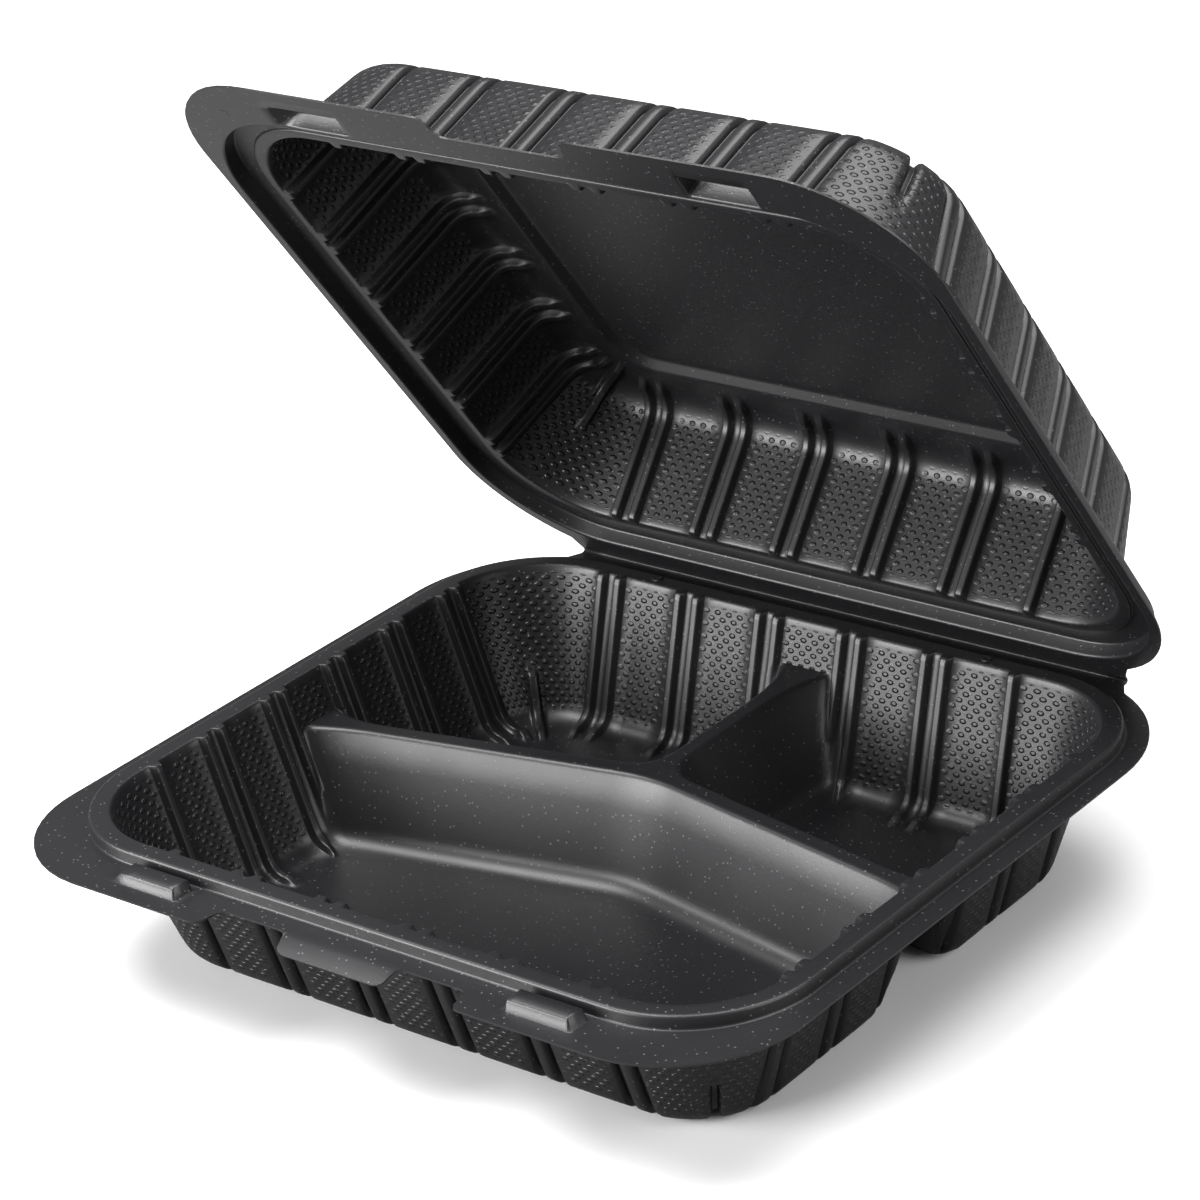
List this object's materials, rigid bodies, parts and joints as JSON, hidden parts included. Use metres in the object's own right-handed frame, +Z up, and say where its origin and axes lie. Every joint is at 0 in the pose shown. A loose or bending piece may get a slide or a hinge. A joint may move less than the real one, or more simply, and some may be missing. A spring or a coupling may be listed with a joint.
{
  "type": "plastic clamshell container",
  "caption": "Hinged take-out clamshell in one black plastic sheet, tray with compartments and ribbed walls, and a domed lid that folds shut over it.",
  "frame": {"origin": "middle of the tray's mouth seen from above, on the flat underside of the floor, which rests on the table", "axes": "+X along the hinge to the right, +Y from the opening tongue at the front to the hinge at the back, +Z up"},
  "size_m": [0.229, 0.2276, 0.2152],
  "materials": {
    "black_polypropylene": "satin black mineral-filled polypropylene, thermoformed"
  },
  "bodies": {
    "base": {"base_tray": "black_polypropylene"},
    "lid": {"lid": "black_polypropylene"}
  },
  "joints": [
    {"name": "lid_hinge", "type": "hinge", "parent": "base", "child": "lid", "pos_m": [0, 0.10475, 0.03875], "axis": [-1, 0, 0], "range_deg": [-54.6, 118]}
  ]
}
